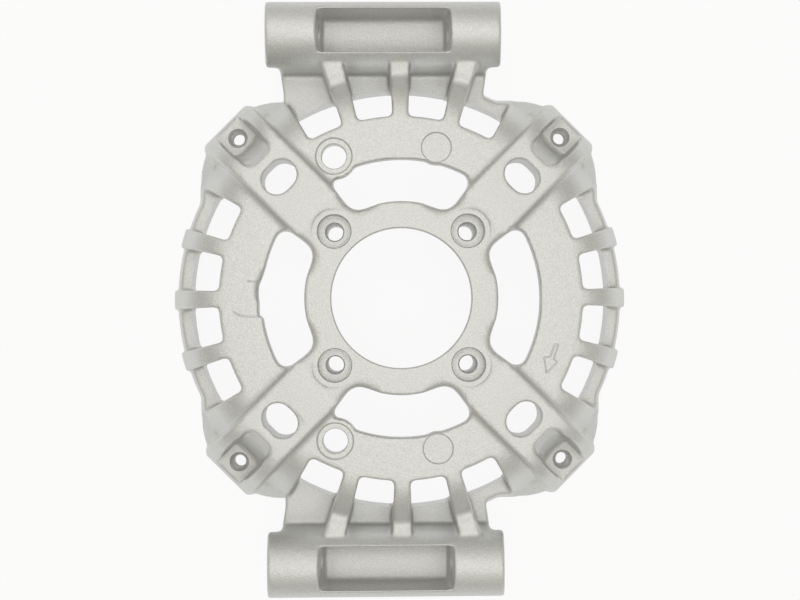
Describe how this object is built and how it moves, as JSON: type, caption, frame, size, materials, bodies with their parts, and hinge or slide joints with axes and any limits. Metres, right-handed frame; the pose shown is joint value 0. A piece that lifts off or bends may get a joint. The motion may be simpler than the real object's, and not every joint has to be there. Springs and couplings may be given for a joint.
{
  "type": "alternator drive end bracket",
  "caption": "Die-cast drive end bracket of an alternator: slotted bell with a bearing hub on diagonal spokes, threaded corner lugs, and a mounting tube above and below.",
  "frame": {"origin": "on the shaft axis, in the rear plane that the stator stack seats on", "axes": "+Z along the shaft axis out of the front, +Y towards the upper mounting tube, +X to the right seen from the front"},
  "size_m": [0.1554, 0.1978, 0.0348],
  "materials": {
    "cast_aluminium": "shot-blasted die casting with machined seats and bores"
  },
  "bodies": {
    "root": {"bracket_casting": "cast_aluminium"}
  },
  "joints": []
}
